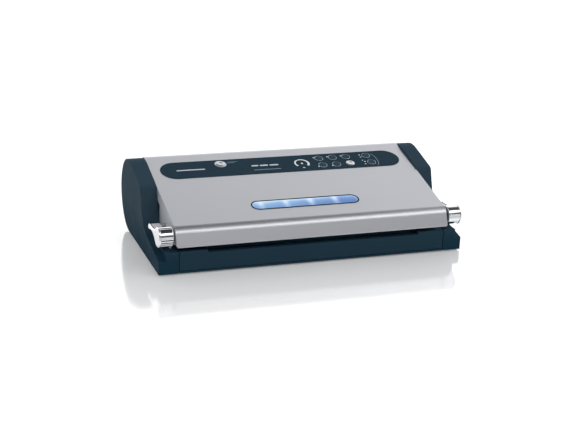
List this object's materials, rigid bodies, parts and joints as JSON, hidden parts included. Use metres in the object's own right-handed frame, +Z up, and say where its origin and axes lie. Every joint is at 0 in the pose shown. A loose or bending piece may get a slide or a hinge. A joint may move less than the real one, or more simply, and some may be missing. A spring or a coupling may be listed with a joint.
{
  "type": "vacuum sealer",
  "caption": "Low household vacuum sealer with a sloping steel lid, dark end housings, chrome latch levers, a control strip and a lit window.",
  "frame": {"origin": "on the floor under the middle of the footprint", "axes": "+X across the width to the right, -Y to the front, +Z up"},
  "size_m": [0.42, 0.226, 0.1042],
  "materials": {
    "end_housing_plastic": "fine satin moulding, dark petrol grey",
    "base_plastic": "satin moulding, dark petrol blue",
    "frame_plastic": "fine matt moulding",
    "steel_skin": "satin brushed across the width",
    "panel_plastic": "smooth satin-gloss membrane",
    "key_plastic": "smooth satin-gloss",
    "silver_button": "metallised satin",
    "ring_trim": "bright plated",
    "lever_chrome": "polished chrome plating",
    "rubber": "matt closed-cell",
    "silicone": "matt silicone",
    "lens": "frosted tinted diffuser lit from behind",
    "led": "lit",
    "white_mark": "clear light pipe",
    "pcb": "solder resist",
    "steel_part": "turned steel",
    "motor_metal": "satin",
    "copper": "enamelled winding",
    "tube": "translucent silicone",
    "nylon": "natural nylon",
    "tape": "coated glass cloth",
    "tray_plastic": "smooth moulding"
  },
  "bodies": {
    "base": {"left_end_housing": "end_housing_plastic", "right_end_housing": "end_housing_plastic", "front_fascia": "base_plastic", "base_tray": "base_plastic", "rear_housing": "end_housing_plastic", "bottom_plate": "frame_plastic", "left_end_cover": "frame_plastic", "right_end_cover": "frame_plastic", "drip_tray": "tray_plastic", "lower_gasket": "rubber", "counter_strip": "silicone", "feet": "rubber", "base_screws": "steel_part", "hinge_pins": "steel_part", "left_catch": "nylon", "right_catch": "nylon", "cord_gland": "rubber", "pump_head": "frame_plastic", "pump_motor": "motor_metal", "transformer_core": "steel_part", "transformer_coil": "copper", "release_valve": "nylon", "vacuum_tube": "tube"},
    "rotor": {"motor_shaft": "steel_part", "cooling_fan": "frame_plastic"},
    "lid": {"lid_cover": "steel_skin", "lid_frame": "frame_plastic", "control_panel": "panel_plastic", "key_rings": "ring_trim", "indicator_lights": "white_mark", "window_bezel": "panel_plastic", "window_lens": "lens", "light_board": "nylon", "light_leds": "led", "circuit_board": "pcb", "key_switches": "frame_plastic", "upper_gasket": "rubber", "seal_bar": "frame_plastic", "heating_element": "steel_part", "ptfe_tape": "tape", "hinge_bushes": "nylon", "lever_pins": "steel_part", "lid_screws": "steel_part"},
    "left_lever": {"left_lever": "lever_chrome", "left_lever_cap": "lever_chrome"},
    "right_lever": {"right_lever": "lever_chrome", "right_lever_cap": "lever_chrome"},
    "power_button": {"power_button": "silver_button"},
    "seal_button": {"seal_button": "silver_button"},
    "program_key": {"program_key": "key_plastic"},
    "seal_time_key": {"seal_time_key": "key_plastic"},
    "dry_food_key": {"dry_food_key": "key_plastic"},
    "soft_food_key": {"soft_food_key": "key_plastic"},
    "canister_key": {"canister_key": "key_plastic"},
    "pulse_key": {"pulse_key": "key_plastic"},
    "stop_key": {"stop_key": "key_plastic"}
  },
  "joints": [
    {"name": "lid_hinge", "type": "hinge", "parent": "base", "child": "lid", "pos_m": [0, 0.07071, 0.08917], "axis": [-1, 0, 0], "range_deg": [0, 65]},
    {"name": "left_lever_pivot", "type": "hinge", "parent": "lid", "child": "left_lever", "pos_m": [-0.2025, -0.054, 0.0482], "axis": [-1, 0, 0], "range_deg": [0, 40]},
    {"name": "right_lever_pivot", "type": "hinge", "parent": "lid", "child": "right_lever", "pos_m": [0.2025, -0.054, 0.0482], "axis": [-1, 0, 0], "range_deg": [0, 40]},
    {"name": "rotor_spin", "type": "hinge", "parent": "base", "child": "rotor", "pos_m": [-0.05, 0.045, 0.03], "axis": [1, 0, 0], "continuous": true},
    {"name": "power_button_press", "type": "slide", "parent": "lid", "child": "power_button", "axis": [0, -0.2475, 0.9689], "range_m": [-0.001, 0], "stiffness_N_per_m": 400},
    {"name": "seal_button_press", "type": "slide", "parent": "lid", "child": "seal_button", "axis": [0, -0.2475, 0.9689], "range_m": [-0.001, 0], "stiffness_N_per_m": 400},
    {"name": "program_key_press", "type": "slide", "parent": "lid", "child": "program_key", "axis": [0, -0.2475, 0.9689], "range_m": [-0.001, 0], "stiffness_N_per_m": 400},
    {"name": "seal_time_key_press", "type": "slide", "parent": "lid", "child": "seal_time_key", "axis": [0, -0.2475, 0.9689], "range_m": [-0.001, 0], "stiffness_N_per_m": 400},
    {"name": "dry_food_key_press", "type": "slide", "parent": "lid", "child": "dry_food_key", "axis": [0, -0.2475, 0.9689], "range_m": [-0.001, 0], "stiffness_N_per_m": 400},
    {"name": "soft_food_key_press", "type": "slide", "parent": "lid", "child": "soft_food_key", "axis": [0, -0.2475, 0.9689], "range_m": [-0.001, 0], "stiffness_N_per_m": 400},
    {"name": "canister_key_press", "type": "slide", "parent": "lid", "child": "canister_key", "axis": [0, -0.2475, 0.9689], "range_m": [-0.001, 0], "stiffness_N_per_m": 400},
    {"name": "pulse_key_press", "type": "slide", "parent": "lid", "child": "pulse_key", "axis": [0, -0.2475, 0.9689], "range_m": [-0.001, 0], "stiffness_N_per_m": 400},
    {"name": "stop_key_press", "type": "slide", "parent": "lid", "child": "stop_key", "axis": [0, -0.2475, 0.9689], "range_m": [-0.001, 0], "stiffness_N_per_m": 400}
  ]
}
